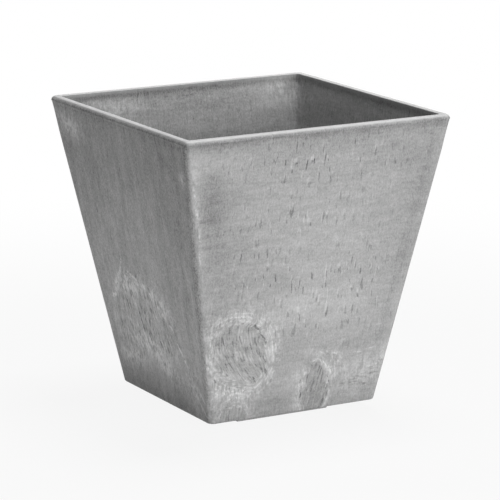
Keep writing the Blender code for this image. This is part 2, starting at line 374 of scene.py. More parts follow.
# Which signal each part of the look comes from, where it starts to show, and where it shows in full.
RAMPS = {
    "furrow": ("stroke", -0.15, -0.75),
    "ridge": ("stroke", 0.15, 0.8),
    "torn": ("from_edge", 1.1, 0.3),
    "torn_share": ("cloud", -0.1, 0.3),
    "inside": ("torn_depth", -0.8, 1.2),
    "tufts": ("broken", -0.45, 0.35),
    "strand": ("swing", 0.1, 0.95),
    "slit": ("dent", 0.74, 1.05),
    "lip": ("dent_lip", 0.74, 1.05),
    "dash": ("slide", 0.35, 0.7),
    "nick": ("near_nick", 1.15, 0.45),
    "vein": ("near_vein", 1.2, 0.3),
    "beads": ("ragged", -0.5, 0.1),
}

# Signals that show only as far as another one lets them.
MASKS = {
    # Stone powder at the surface: a fine upright grain, rubbed off the rim.
    "powder": ("powder", "powdery"),
    # Long strokes inside the whorls: dark furrows, and pale ridges between them.
    "furrow": ("furrow", "strokes"),
    "ridge": ("ridge", "strokes"),
    # The torn edge of each whorl, a thin dark line that comes and goes.
    "torn": ("torn", "torn_share"),
    # Inside its torn edge a whorl can be darker than the skin round it.
    "core": ("inside", "core"),
    # Pale feathery bloom, broken up by the grain of the mix; round a whorl it lies in strands.
    "bloom": ("bloom", "tufts"),
    "strand": ("strand", "bloom"),
    # Short upright slits, each with a pale lip beside it, and level dashes where the mix slid.
    "slit": ("slit", "slits"),
    "lip": ("lip", "slits"),
    "dash": ("dash", "dashes"),
    # Thin veins that break up into beads.
    "vein": ("vein", "beads"),
}

# How much paler or darker each signal makes the skin, and how far it lifts or sinks the surface.
TONE_WEIGHTS = {
    "cloud": 0.030, "drawn": 1.0, "powder": 1.0, "mottle": 0.024, "fibre": 0.034, "strokes": 0.01,
    "furrow": -0.18, "ridge": 0.15, "torn": -0.09, "bloom": 0.25, "strand": 0.20, "dash": -0.22,
    "slit": -0.30, "lip": 0.16, "nick": -0.32, "vein": 0.24,
}
RELIEF_WEIGHTS = {"grain": 0.10, "fibre": 0.06, "furrow": -0.7, "ridge": 0.3, "slit": -0.6, "nick": -1.0}
ROUGH_WEIGHTS = {"cloud": 0.03, "bloom": 0.08}


@dataclass(frozen=True)
class StoneFilledResin:
    """Resin filled with stone powder, pressed in a hot mould.

    It looks like slate or poured concrete: satin grey, cloudy, with a fine upright grain and short
    slits in the skin. The patterns follow the piece's own attributes, which `MouldedSkin` works out
    from the marks on each wall.
    """

    dark: str = "3c3c3c"
    pale: str = "f0f0f0"
    base: float = 0.44
    ior: float = 1.5
    roughness: float = 0.56
    bump_strength: float = 0.6
    bump_mm: float = 0.3
    level_lost: float = -0.8

    def build(self) -> Material:
        """Make the material."""
        material, tree, shader = new_material("stone_filled_resin_pressed")
        found = {name: noise.build(tree) for name, noise in PATTERNS.items()}
        for name in ATTRIBUTES:
            found[name] = add_node(tree, "ShaderNodeAttribute", {"attribute_name": name}).outputs["Fac"]

        def mix(weights: dict[str, float], start: float = 0.0) -> Socket:
            """A start value and signals found so far, each times its weight."""
            return weigh(tree, [(found[name], weight) for name, weight in weights.items()], start)

        for name, weights in MIXES.items():
            found[name] = mix(weights)
        # Level waves and ripples, and on some walls upright streaks, where the mould was hotter.
        for name in ("level", "standing"):
            found[f"{name}_upright"] = times(tree, found[name], found["upright"])
        found["drawn"] = mix({"level": 1.0, "level_upright": self.level_lost, "standing_upright": 1.0})
        found["from_edge"] = calculate(tree, "ABSOLUTE", found["torn_depth"])
        found["swing"] = calculate(tree, "SINE", found["turns"])
        for name, (source, low, high) in RAMPS.items():
            found[name] = ramp(tree, found[source], low, high)
        for name, (source, mask) in MASKS.items():
            found[name] = times(tree, found[source], found[mask])
        found["pattern"] = times(tree, mix(TONE_WEIGHTS), found["contrast"])
        tone = mix({"pattern": 1.0, "core": 1.0, "tone": 1.0}, self.base)
        bump = (mix(RELIEF_WEIGHTS), self.bump_strength, self.bump_mm)
        rough = mix(ROUGH_WEIGHTS, self.roughness)
        dress_surface(tree, shader, (tone, self.dark, self.pale), rough, bump, self.ior)
        return material


@dataclass(frozen=True)
class MouldedPlastic:
    """Black polypropylene, injection moulded with a fine spark-eroded grain: dull, slightly waxy.

    Wide smears make it a little paler and duller here and there, as handling and water do.
    Rubber is the same finish with values of its own, which make it darker and duller.
    """

    name: str = "black_polypropylene_moulded"
    colour: str = "26282a"
    worn: str = "3c3e40"
    roughness: float = 0.42
    ior: float = 1.49
    grain_mm: float = 0.8
    smear_mm: float = 24.0
    smear_roughness: float = 0.16
    bump_strength: float = 0.25
    bump_mm: float = 0.05

    def build(self) -> Material:
        """Make the material."""
        material, tree, shader = new_material(self.name)
        place = add_node(tree, "ShaderNodeTexCoord").outputs["Object"]
        grain = add_noise(tree, place, 1 / (self.grain_mm * MM), 2.0)
        smear = add_noise(tree, place, 1 / (self.smear_mm * MM), 4.0)
        lowest = self.roughness - self.smear_roughness / 2
        rough = weigh(tree, [(smear, self.smear_roughness)], lowest)
        bump = (grain, self.bump_strength, self.bump_mm)
        dress_surface(tree, shader, (smear, self.colour, self.worn), rough, bump, self.ior)
        return material


# Marks on the pot's skin -------------------------------------------------------------------------


class Wall(Enum):
    """The pot's four walls, with the direction in which each faces outwards."""

    FRONT = (0, -1)
    RIGHT = (1, 0)
    BACK = (0, 1)
    LEFT = (-1, 0)


@dataclass(frozen=True)
class Whorl:
    """A patch where the mix folded over: long strokes inside, a torn edge and a pale ring round it.

    The radii run round the centre at equal angles, from the reader's right towards the rim. Strokes
    lean to the right by `lean` millimetres for each one up, and `bend` more for each further one.
    """

    centre_mm: Pair
    radii_mm: tuple[float, ...]
    lean: float = 0.0
    bend: float = 0.0
    strokes: float = 1.0
    ring_mm: float = 8.0
    bloom: float = 1.0
    core: float = 0.0
    relief_mm: float = 0.3
    has_edge: bool = True


@dataclass(frozen=True)
class Patch:
    """A soft oval patch that has a pattern, or is paler (above 0) or darker (below 0)."""

    centre_mm: Pair
    half_mm: Pair
    strength: float
    lean_deg: float = 0.0


@dataclass(frozen=True)
class Line:
    """A nick or a vein from one place on the wall to another."""

    start_mm: Pair
    end_mm: Pair
    width_mm: float = 0.8


@dataclass(frozen=True)
class Band:
    """A soft band that runs up the wall beside a corner: painted light, paler for the highlight along the
    rounded corner and darker for the shade beside it.
    """

    from_corner_mm: float
    half_width_mm: float
    tone: float


def patches(*rows: tuple[float, ...]) -> tuple[Patch, ...]:
    """Patches from rows: place across and up, half sizes across and up, strength, any lean."""
    return tuple(Patch(row[:2], row[2:4], *row[4:]) for row in rows)


def lines(*rows: tuple[float, ...]) -> tuple[Line, ...]:
    """Lines from rows: start across and up, end across and up, any width."""
    return tuple(Line(row[:2], row[2:4], *row[4:]) for row in rows)


def path(*places_mm: Pair, width_mm: float = 0.8) -> tuple[Line, ...]:
    """Lines that join places one after another."""
    return tuple(Line(start, end, width_mm) for start, end in zip(places_mm, places_mm[1:]))


@dataclass(frozen=True)
class WallMarks:
    """All that is placed on one side of one wall, and how strongly its patterns show.

    Feathers are patches of pale, broken bloom, and tones are plain patches; some tones are painted shade
    under the rim and painted light over a wall. Where `upright` is 1 the wall has upright streaks instead
    of most of its level waves. `lip_tone` is the tone of its rim, and below 0 it is painted shade on the
    rim.
    """

    contrast: float = 1.0
    upright: float = 0.0
    lip_tone: float = 0.0
    whorls: tuple[Whorl, ...] = ()
    feathers: tuple[Patch, ...] = ()
    tones: tuple[Patch, ...] = ()
    slits: tuple[Patch, ...] = ()
    dashes: tuple[Patch, ...] = ()
    nicks: tuple[Line, ...] = ()
    veins: tuple[Line, ...] = ()
    left_bands: tuple[Band, ...] = ()
    right_bands: tuple[Band, ...] = ()


# Painted highlight along a rounded corner, and painted shade a little way beside it.
CORNER_HIGHLIGHT = Band(6.0, 6.0, 0.05)
SHADE_BESIDE_CORNER = Band(20.0, 7.0, -0.03)

FRONT_MARKS = WallMarks(
    whorls=(
        Whorl(
            (-58, 68), (25, 25, 25, 26, 30, 30, 25, 22, 22, 25, 35, 31),
            lean=-0.42, bend=0.0085, strokes=1.15, ring_mm=9.5, bloom=0.75,
        ),
        Whorl(
            (17, 29), (10.5, 13, 22, 13, 8, 17, 27, 17),
            lean=0.2, strokes=0.9, ring_mm=4.5, bloom=0.7, core=-0.11,
        ),
        Whorl((-60, 6), (17, 17, 15, 17, 17), strokes=0.5, ring_mm=4, bloom=0.6),
    ),
    feathers=patches(
        (-62, 35, 26, 12, 1.15, -12), (-27, 72, 7, 20, 0.9), (-60, 101, 20, 7, 0.9),
        (-88, 66, 8, 30, 1.2), (-80, 24, 9, 16, 0.5), (34, 44, 6, 15, 1.2, -14), (2, 26, 4, 20, 0.9),
        (18, 58, 14, 4, 0.6), (60, 34, 30, 15, 0.75, 12), (-109, 195, 3, 42, 0.7, 10.4),
        (84, 50, 12, 9, 0.7),
    ),
    tones=patches(
        (-108, 190, 5, 55, 0.02, 10.4), (17.5, 24, 8, 16, -0.04, -6), (-64, 35, 24, 11, 0.11),
        (-28, 64, 5, 24, 0.07, 4), (-90, 62, 6, 22, 0.06), (-6, 34, 12, 14, 0.06),
        (-14, 98, 24, 16, 0.09), (76, 70, 30, 44, 0.035), (-108, 238, 14, 12, 0.04),
        # The wide patch at (0, 245) is painted shade under the rim.
        (52, 234, 30, 12, -0.045), (8, 8, 14, 5, 0.08), (0, 245, 150, 10, -0.04),
        (50, 63, 24, 5, -0.07, 4), (62, 48, 30, 9, 0.03, 6), (24, 160, 54, 66, 0.075),
        (-90, 178, 22, 46, -0.05), (16, 100, 56, 24, 0.09), (100, 190, 24, 60, -0.06),
        (6, 36, 40, 10, 0.05), (-98, 203, 12, 24, -0.11), (88, 130, 14, 22, -0.04),
        (-40, 200, 30, 16, 0.025), (-88, 236, 34, 12, 0.05), (50, 36, 50, 26, 0.045),
        (0, 30, 22, 26, 0.04), (-15, 20, 14, 16, -0.03),
    ),
    slits=patches(
        (-22, 127, 32, 12, 1.1), (0, 228, 62, 15, 0.9), (-54, 152, 18, 6, 0.9),
        (-12, 180, 44, 22, 0.6), (45, 125, 34, 26, 0.7), (10, 92, 40, 15, 0.7),
    ),
    dashes=patches((58, 24, 20, 11, 1, 8), (74, 42, 12, 9, 0.6)),
    nicks=lines(
        (-43.5, 138, -41.8, 131, 0.7), (-31.5, 135, -30.2, 127, 0.7), (-14.2, 124, -13.8, 115, 0.9),
        (-3.4, 119.5, -3, 113), (-38.5, 112, -38, 106, 0.5), (-20, 230, -19.5, 222, 0.5),
        (46, 116, 44, 110, 0.6), (-46, 91, -41, 86, 1.2), (-41, 85, -37.5, 80),
        (-34, 71, -35, 60, 0.6), (-35.5, 79, -34, 73, 1.4), (-35.5, 57.5, -35, 54),
        (-32, 50, -30.5, 46, 1.6), (-26, 42, -26, 38, 1), (-43, 45, -40.5, 40, 0.9),
        (-79, 47, -78, 44, 1.2), (-65.5, 39, -64.5, 37, 1), (-60, 93.5, -55.5, 95),
        (3, 36, 3.2, 33.5, 1.1), (4.2, 24, 3.8, 20, 1.2), (27, 15, 25.8, 9.5, 1.4),
        (29.5, 36, 30.5, 30, 1),
    ),
    veins=(
        *path((12, 50), (18, 53), (25, 49), (30, 40)),
        *path((31, 40), (32, 48), (38, 55)),
        *path((26, 57), (44, 55), (59, 54), width_mm=1),
        *path((59, 54), (70, 56), (83, 58), width_mm=0.7),
        *path((-66, 19), (-58, 21.5), (-49, 19), width_mm=1.2),
        *lines(
            (74, 38, 82, 46), (-114, 217, -111.5, 209, 1.2), (-110, 199, -108, 191, 1.2),
            (-105, 181, -103.5, 171, 1.2), (-103, 160, -101, 149, 1),
        ),
    ),
    # Corner bands: painted highlight along each corner and painted shade beside it.
    left_bands=(Band(6, 5, 0.01), Band(23, 8, -0.035)),
    right_bands=(Band(5, 5, 0.015), Band(13.5, 4, -0.045)),
)

LEFT_MARKS = WallMarks(
    contrast=1.9,
    upright=1.0,
    # Painted shade: the rim's lip is darker on this wall, the side that faces away from the light.
    lip_tone=-0.17,
    whorls=(
        Whorl(
            (-10, 75), (58, 45, 39, 47, 57, 52, 27, 42),
            lean=-0.15, strokes=0.75, ring_mm=7, bloom=0.3, relief_mm=0.2, has_edge=False,
        ),
    ),
    feathers=patches(
        (-48, 38, 24, 9, 1.2), (14, 45, 28, 9, 1.1, -24), (-14, 56, 34, 7, 1),
        (-30, 106, 30, 9, 1.1, 12), (24, 100, 28, 7, 0.8, -28), (62, 32, 12, 24, 0.8),
        (-90, 234, 20, 9, 1.2, -8), (110, 222, 5, 4, 1),
    ),
    tones=patches(
        (-90, 234, 22, 12, 0.08), (-104, 212, 20, 18, -0.06), (-66, 214, 34, 26, -0.04),
        (40, 148, 34, 34, 0.05), (74, 16, 16, 24, 0.2), (-4, 8, 50, 12, -0.1),
        (-58, 98, 3, 13, 0.13, -24), (4, 190, 16, 40, 0.03), (52, 168, 5, 60, -0.03),
        # (0, 245) is painted shade under the rim, and (10, 214) painted shade over the upper wall, where
        # less light reaches this side.
        (0, 245, 150, 10, -0.03), (10, 214, 120, 46, -0.06), (0, 175, 50, 40, 0.03),
        # (0, 60) is painted light low on the wall, and (78, 234) a painted shadow under the rim near the
        # front corner.
        (0, 60, 110, 42, 0.07), (-8, 84, 36, 28, 0.03), (78, 234, 24, 4, -0.09, -39),
        (107, 224, 7, 16, 0.06),
    ),
    slits=patches((-10, 62, 40, 20, 0.7)),
    nicks=lines(
        (-39, 90, -38, 82, 0.7), (-52, 56, -50, 49), (-8, 68, -4, 58, 0.9), (12, 66, 14, 57),
        (-20, 84, -14, 66, 1),
    ),
    veins=(
        *path((-68, 88), (-60, 90), (-53, 104), (-44, 113), (-38, 126), width_mm=2),
        *path((-38, 110), (-26, 117), (-14, 113), width_mm=1.4),
        *lines(
            (8, 104, 10, 102, 2.8), (17, 97, 19, 95, 2.8), (26, 91, 28, 89, 2.6),
            (-2, 110, 0, 108.5, 2.4), (36, 83, 40, 79, 1.8), (44, 72, 58, 50, 1.2),
            (60, 36, 68, 24, 1.4), (70, 22, 77, 13, 1.4), (72, 32, 79, 24, 1.4),
        ),
    ),
    # Corner bands: painted highlight and painted shade beside each corner.
    left_bands=(Band(5, 5, -0.02),),
    right_bands=(Band(4, 3, -0.08), Band(13, 4, 0.02), Band(23, 6, -0.08), Band(48, 10, -0.04)),
)

RIGHT_MARKS = WallMarks(
    whorls=(
        Whorl((34, 62), (22, 26, 30, 24, 20, 24, 32, 24), lean=0.38, bend=-0.008),
        Whorl((-40, 24), (15, 17, 22, 18, 14, 15, 20, 17), lean=-0.15, ring_mm=6),
    ),
    feathers=patches((36, 24, 28, 9, 0.8), (62, 70, 9, 22, 0.7)),
    # The first tone patch, at (0, 241), is painted shade under the rim.
    tones=patches((0, 241, 110, 16, -0.03), (-30, 60, 34, 7, -0.05, -5), (0, 160, 55, 60, 0.035)),
    slits=patches((0, 220, 70, 24, 0.6), (-10, 130, 60, 28, 0.9)),
    nicks=lines((12, 140, 13, 133), (-22, 118, -21, 111), (57, 66, 56, 58, 1.2), (12, 80, 14, 86, 1)),
    veins=(
        *path((-70, 68), (-44, 64), (-20, 66)),
        *lines((-42, 46, -30, 50)),
    ),
    left_bands=(CORNER_HIGHLIGHT, SHADE_BESIDE_CORNER),
    right_bands=(CORNER_HIGHLIGHT, SHADE_BESIDE_CORNER),
)

BACK_MARKS = WallMarks(
    whorls=(
        Whorl((-38, 84), (30, 26, 24, 27, 30, 26, 22, 26), lean=0.5, bend=0.006),
        Whorl((44, 30), (16, 20, 26, 18, 14, 16, 22, 18), lean=0.1, ring_mm=7),
    ),
    feathers=patches((-40, 48, 34, 9, 0.8)),
    # The tone patch at (0, 241) is painted shade under the rim.
    tones=patches((30, 70, 40, 6, -0.05, 6), (0, 241, 110, 16, -0.03), (0, 165, 60, 55, 0.035)),
    slits=patches((0, 215, 80, 30, 0.6), (30, 125, 50, 24, 0.9)),
    nicks=lines((4, 160, 5, 152), (31, 117, 31.6, 110), (-9, 88, -8, 80, 1.3)),
    veins=path((-12, 62), (10, 60), (30, 64)),
    left_bands=(CORNER_HIGHLIGHT, SHADE_BESIDE_CORNER),
    right_bands=(CORNER_HIGHLIGHT, SHADE_BESIDE_CORNER),
)

BACK_INNER_MARKS = WallMarks(
    contrast=1.35,
    feathers=patches((63, 240, 26, 8, 0.6), (-100, 240, 22, 14, 0.7, 30)),
    tones=patches(
        (63, 241, 30, 7, 0.07), (-86, 247, 34, 8, 0.05, 14), (-74, 230, 30, 5, -0.05, 24),
        (40, 240, 60, 16, -0.035), (-98, 230, 34, 26, 0.19), (0, 215, 90, 12, 0.07),
    ),
    slits=patches((46, 240, 16, 10, 0.2)),
    veins=path((-117, 248), (-115, 228), (-113, 209), width_mm=1.6),
)

RIGHT_INNER_MARKS = WallMarks(
    contrast=1.3,
    feathers=patches((112, 236, 10, 24, 0.6)),
    tones=patches((70, 246, 60, 12, 0.07), (-20, 120, 60, 40, 0.04, 20)),
    slits=patches((0, 160, 60, 60, 0.5)),
)

PLAIN_INNER_MARKS = WallMarks(
    feathers=patches((20, 60, 40, 14, 0.6)),
    tones=patches((-30, 150, 60, 40, 0.04, 20), (40, 90, 50, 30, -0.04)),
    slits=patches((0, 160, 60, 60, 0.5)),
)


def soft_step(value: np.ndarray, low: float, high: float) -> np.ndarray:
    """0 at low, 1 at high, and a smooth rise or fall between them."""
    part = np.clip((value - low) / (high - low), 0.0, 1.0)
    return part * part * (3.0 - 2.0 * part)


def soft_bump(value: np.ndarray, middle: float, half_width: float) -> np.ndarray:
    """1 at the middle, fading to 0 on both sides of it."""
    return np.exp(-(((value - middle) / half_width) ** 2))


@dataclass
class MouldedSkin:
    """Works out, for each point of a pot wall, what its marks do there.

    Depths run into a whorl from its edge, so a range that starts below 0 starts outside it.

    Args:
        across: Each point's place along the wall, in millimetres.
        height: Each point's height above the ground, in millimetres.
        from_middle: Half the wall's width at each point's height, in millimetres.
        lip: 1 for each point on the rim's lip, and 0 below it.
        under_lip_shade: How much darker each point just under the rim's lip is painted, as painted shade
            from the lip.
        marks: The wall's marks.
    """

    across: np.ndarray
    height: np.ndarray
    from_middle: np.ndarray
    lip: np.ndarray
    under_lip_shade: np.ndarray
    marks: WallMarks
    far: float = 20.0
    core_from_mm: Pair = (-9.0, -5.0)
    bent_from_mm: Pair = (-5.0, 2.5)
    bent_softly_from_mm: Pair = (-8.0, 8.0)
    strokes_from_mm: Pair = (-1.5, 1.5)
    strokes_softly_from_mm: Pair = (-6.0, 6.0)
    ring_inside_mm: Pair = (3.0, -0.5)
    ring_widths: Pair = (-2.0, -0.5)
    raised_mm: Pair = (-2.0, 4.0)
    raised_share: float = 0.8
    dish_from_mm: Pair = (0.0, 5.0)
    least_slits: float = 0.2
    most_cover: float = 1.2
    lip_powder_lost: float = 0.7
    lip_contrast: float = 0.7

    def depth(self, mark: Whorl) -> np.ndarray:
        """How deep each point lies inside a whorl, in millimetres; below 0 outside it."""
        right = self.across - mark.centre_mm[0]
        up = self.height - mark.centre_mm[1]
        corners = np.arange(len(mark.radii_mm)) * 2 * math.pi / len(mark.radii_mm)
        radius = np.interp(np.arctan2(up, right), corners, mark.radii_mm, period=2 * math.pi)
        return np.clip(radius - np.hypot(right, up), -self.far, self.far)

    def total(self, parts: Iterable[np.ndarray]) -> np.ndarray:
        """The sum of what several marks do at each point."""
        return sum(parts, np.zeros_like(self.across))

    def most(self, parts: Iterable[np.ndarray], least: float = 0.0) -> np.ndarray:
        """The highest of what several marks do at each point."""
        return reduce(np.maximum, parts, np.full_like(self.across, least))

    def edge_depth(self) -> np.ndarray:
        """Depth inside the nearest whorl that has a torn edge."""
        return self.most((self.depth(mark) for mark in self.marks.whorls if mark.has_edge), -self.far)

    def core(self) -> np.ndarray:
        """How much paler or darker the skin is inside the whorls; the finish fits it to their edges."""
        return self.total(
            mark.core * soft_step(self.depth(mark), *self.core_from_mm) for mark in self.marks.whorls
        )

    def strokes(self) -> np.ndarray:
        """How strong the long strokes are."""
        starts = {True: self.strokes_from_mm, False: self.strokes_softly_from_mm}
        return self.most(
            mark.strokes * soft_step(self.depth(mark), *starts[mark.has_edge]) for mark in self.marks.whorls
        )

    def spread(self, patch: Patch) -> np.ndarray:
        """A patch's strength at its centre, fading to 0 round it."""
        lean = math.radians(patch.lean_deg)
        right = self.across - patch.centre_mm[0]
        up = self.height - patch.centre_mm[1]
        along = right * math.cos(lean) + up * math.sin(lean)
        over = up * math.cos(lean) - right * math.sin(lean)
        fade = soft_bump(along, 0.0, patch.half_mm[0]) * soft_bump(over, 0.0, patch.half_mm[1])
        return patch.strength * fade

    def bloom(self) -> np.ndarray:
        """How pale and feathery the skin is: round the whorls, and in feathered patches."""

        def ring(mark: Whorl) -> np.ndarray:
            """The bloom round one whorl."""
            depth = self.depth(mark)
            outside = soft_step(depth, *(width * mark.ring_mm for width in self.ring_widths))
            return mark.bloom * soft_step(depth, *self.ring_inside_mm) * outside

        rings = [ring(mark) for mark in self.marks.whorls]
        return self.most(rings + [self.spread(patch) for patch in self.marks.feathers])

    def tone(self) -> np.ndarray:
        """How much paler or darker each point is made by the plain patches, the corner bands of painted
        highlight and shade, the rim's lip tone and the painted shade under the lip.
        """
        total = self.total(self.spread(patch) for patch in self.marks.tones)
        for bands, corner in ((self.marks.left_bands, -1), (self.marks.right_bands, 1)):
            for band in bands:
                away = self.from_middle - corner * self.across
                total += band.tone * soft_bump(away, band.from_corner_mm, band.half_width_mm)
        total += self.lip * (self.marks.lip_tone - total)
        # Painted shade under the rim's lip, which stops where the lip starts.
        return total + self.under_lip_shade * (1.0 - self.lip)

    def cover(self, patches: Sequence[Patch], least: float = 0.0) -> np.ndarray:
        """How much of a pattern, such as slits or dashes, the skin has at each point."""
        return np.clip(least + self.total(self.spread(patch) for patch in patches), 0.0, self.most_cover)

    def nearest(self, lines: Sequence[Line]) -> np.ndarray:
        """Distance to the nearest of some lines, counted in its widths."""
        best = np.full_like(self.across, self.far)
        places = np.stack([self.across, self.height], axis=1)
        for line in lines:
            start = np.array(line.start_mm)
            along = np.array(line.end_mm) - start
            part = np.clip((places - start) @ along / (along @ along), 0.0, 1.0)
            away = np.linalg.norm(places - start - part[:, None] * along, axis=1)
            best = np.minimum(best, away / line.width_mm)
        return best

    def values(self) -> dict[str, np.ndarray]:
        """What the finish reads at each point, by the names in ATTRIBUTES."""
        marks = self.marks
        return {
            "depth": self.edge_depth(),
            "strokes": self.strokes(),
            "bloom": self.bloom(),
            "core": self.core(),
            "tone": self.tone(),
            "slits": self.cover(marks.slits, self.least_slits),
            "dashes": self.cover(marks.dashes),
            "powdery": 1.0 - self.lip_powder_lost * self.lip,
            "contrast": marks.contrast + self.lip * (self.lip_contrast - marks.contrast),
            "upright": np.full_like(self.across, marks.upright),
            "nick_away": self.nearest(marks.nicks),
            "vein_away": self.nearest(marks.veins),
        }

    def bent(self) -> np.ndarray:
        """How far along the wall the whorls have moved the mix at each point, in millimetres."""
        starts = {True: self.bent_from_mm, False: self.bent_softly_from_mm}

        def bent_by(mark: Whorl) -> np.ndarray:
            """What one whorl does."""
            up = self.height - mark.centre_mm[1]
            return soft_step(self.depth(mark), *starts[mark.has_edge]) * (mark.lean * up + mark.bend * up**2)

        return self.total(bent_by(mark) for mark in self.marks.whorls)

    def relief(self) -> np.ndarray:
        """How far the surface stands out, in millimetres: whorls are shallow dishes with a raised lip."""

        def dish(mark: Whorl) -> np.ndarray:
            """The relief of one whorl."""
            depth = self.depth(mark)
            raised = self.raised_share * soft_bump(depth, *self.raised_mm)
            return mark.relief_mm * (raised - soft_step(depth, *self.dish_from_mm))

        return self.total(dish(mark) for mark in self.marks.whorls)


# The pot -----------------------------------------------------------------------------------------


@dataclass
class PotShell:
    """The moulded pot: four leaning walls, a rounded rim, a floor with its drain hole and four feet."""

    top_width: float = 0.250
    base_width: float = 0.159
    wall_height: float = 0.2475
    wall_thickness: float = 0.004
    corner_steps: int = 8
    rim_steps: int = 6
    fillet_steps: int = 4
    edge_steps: int = 3
    outer_corner_radius: float = 0.0055
    inner_corner_radius: float = 0.003
    base_edge_radius: float = 0.0015
    rim_width: float = 0.008
    rim_depth: float = 0.006
    rim_blend_depth: float = 0.060
    rim_outer_radius: float = 0.0035
    rim_inner_radius: float = 0.001
    rim_fullness: float = 0.38
    cove_depth: float = 0.0005
    cove_step: float = 0.0005
    cove_fade_mm: Pair = (30.0, 6.0)
    lip_fade_mm: Pair = (1.6, 0.9)
    # Painted shade just under the rim's lip: how dark it is, how far below the rim it is darkest, and how
    # soon it fades.
    under_lip_shade_tone: float = -0.15
    under_lip_shade_below_rim_mm: float = 3.5
    under_lip_shade_fade_mm: float = 4.5
    room_corner_mm: Pair = (6.0, 12.0)
    room_base_mm: Pair = (1.0, 6.0)
    room_rim_mm: Pair = (9.0, 14.0)
    outer_skin: float = 0.003
    floor_thickness: float = 0.005
    floor_fillet: float = 0.0028
    drain_radius: float = 0.007
    boss_radius: float = 0.013
    boss_height: float = 0.002
    foot_height: float = 0.0074
    foot_length: float = 0.087
    foot_width: float = 0.009
    foot_inset: float = 0.0193
    foot_edge_radius: float = 0.001
    row_height: float = 0.00225
    columns: int = 84
    outer_marks: dict = field(
        default_factory=lambda: {
            Wall.FRONT: FRONT_MARKS,
            Wall.LEFT: LEFT_MARKS,
            Wall.RIGHT: RIGHT_MARKS,
            Wall.BACK: BACK_MARKS,
        }
    )
    inner_marks: dict = field(
        default_factory=lambda: {
            Wall.FRONT: PLAIN_INNER_MARKS,
            Wall.LEFT: PLAIN_INNER_MARKS,
            Wall.RIGHT: RIGHT_INNER_MARKS,
            Wall.BACK: BACK_INNER_MARKS,
        }
    )

    @property
    def lean(self) -> float:
        """How far the walls move out for each metre up."""
        return (self.top_width - self.base_width) / 2 / self.wall_height

    @property
    def rim_top(self) -> float:
        """Height of the rim's top."""
        return self.foot_height + self.wall_height

    @property
    def floor_top(self) -> float:
        """Height of the floor inside."""
        return self.foot_height + self.floor_thickness

    def outer_half(self, height: float) -> float:
        """Half the outer width at a height."""
        return self.base_width / 2 + self.lean * (height - self.foot_height)

    def inner_half(self, height: float) -> float:
        """Half the inner width at a height, below where the walls thicken."""
        return self.outer_half(height) - self.wall_thickness * math.hypot(1, self.lean)

    def stack_block(self, name: str, levels: Sequence[Pair], corner_radius: float) -> Piece:
        """A square block with rounded upright corners, open at the top.

        Args:
            name: The block's name.
            levels: Half width and height of each level, from the lowest up.
            corner_radius: Radius of the upright corners.

        Returns:
            The block.
        """
        (low_half, low), (half, height) = levels[:2]
        block = add_box((low_half * 2, low_half * 2, height - low), (0, 0, (low + height) / 2))
        block.name = block.data.name = name
        with editing():
            pick(block, Element.FACES, at_height(height))
            bpy.ops.transform.resize(value=(half / low_half, half / low_half, 1))
            for next_half, next_height in levels[2:]:
                rise = {"value": (0, 0, next_height - height)}
                bpy.ops.mesh.extrude_region_move(TRANSFORM_OT_translate=rise)
                bpy.ops.transform.resize(value=(next_half / half, next_half / half, 1))
                half, height = next_half, next_height
            pick(block, Element.EDGES, lambda edge: abs(edge.verts[0].co.z - edge.verts[1].co.z) > MM)
            round_off(corner_radius, self.corner_steps)
            pick(block, Element.FACES, at_height(height))
            bpy.ops.mesh.delete(type="FACE")
        return block

    def join_walls(self) -> Piece:
        """Build the outer and the inner faces of the walls, and bridge them over the rim."""
        blend = self.rim_top - self.rim_blend_depth
        mouth = self.top_width / 2 - self.rim_width
        inner = self.stack_block(
            "pot_inside",
            (
                (self.inner_half(self.floor_top), self.floor_top),
                (self.inner_half(blend), blend),
                (mouth, self.rim_top - self.rim_depth),
                (mouth, self.rim_top),
            ),
            self.inner_corner_radius,
        )
        with editing():
            bpy.ops.mesh.select_all(action="SELECT")
            bpy.ops.mesh.flip_normals()
        pot = self.stack_block(
            "pot",
            ((self.base_width / 2, self.foot_height), (self.top_width / 2, self.rim_top)),
            self.outer_corner_radius,
        )
        inner.select_set(True)
        bpy.ops.object.join()
        with editing():
            pick(pot, Element.EDGES, at_height(self.rim_top))
            bpy.ops.mesh.bridge_edge_loops()
            bpy.ops.mesh.select_all(action="SELECT")
            bpy.ops.mesh.normals_make_consistent(inside=False)
        return pot

    def round_edges(self, pot: Piece) -> None:
        """Round the rim, the floor's edge and the base."""
        mid_rim = self.top_width / 2 - self.rim_width / 2

        def out_of_rim(edge: object) -> list[bool]:
            """Whether each end of an edge lies outside the middle of the rim."""
            return [max(abs(vert.co.x), abs(vert.co.y)) > mid_rim for vert in edge.verts]

        at_top = at_height(self.rim_top)
        with editing():
            pick(pot, Element.EDGES, lambda edge: at_top(edge) and all(out_of_rim(edge)))
            round_off(self.rim_outer_radius, self.rim_steps, self.rim_fullness)
            pick(pot, Element.EDGES, lambda edge: at_top(edge) and not any(out_of_rim(edge)))
            round_off(self.rim_inner_radius, self.fillet_steps)
            pick(pot, Element.EDGES, at_height(self.floor_top))
            round_off(self.floor_fillet, self.fillet_steps)
            pick(pot, Element.EDGES, at_height(self.foot_height))
            round_off(self.base_edge_radius, self.edge_steps)

    def add_feet(self, pot: Piece) -> None:
        """Mould the four foot bars on under the floor."""
        height = self.foot_height + self.floor_thickness / 2
        away = self.base_width / 2 - self.foot_inset - self.foot_width / 2
        for wall in Wall:
            middle = Vector((*wall.value, 0)) * away + Vector((0, 0, height / 2))
            sides = (self.foot_length, self.foot_width)
            along_x = wall in (Wall.FRONT, Wall.BACK)
            bar = add_box((*(sides if along_x else reversed(sides)), height), middle)
            with editing():
                pick(bar, Element.EDGES, lambda edge: min(v.co.z for v in edge.verts) < height / 2)
                round_off(self.foot_edge_radius, self.edge_steps)
            merge_shape(pot, bar, Joining.ADD)

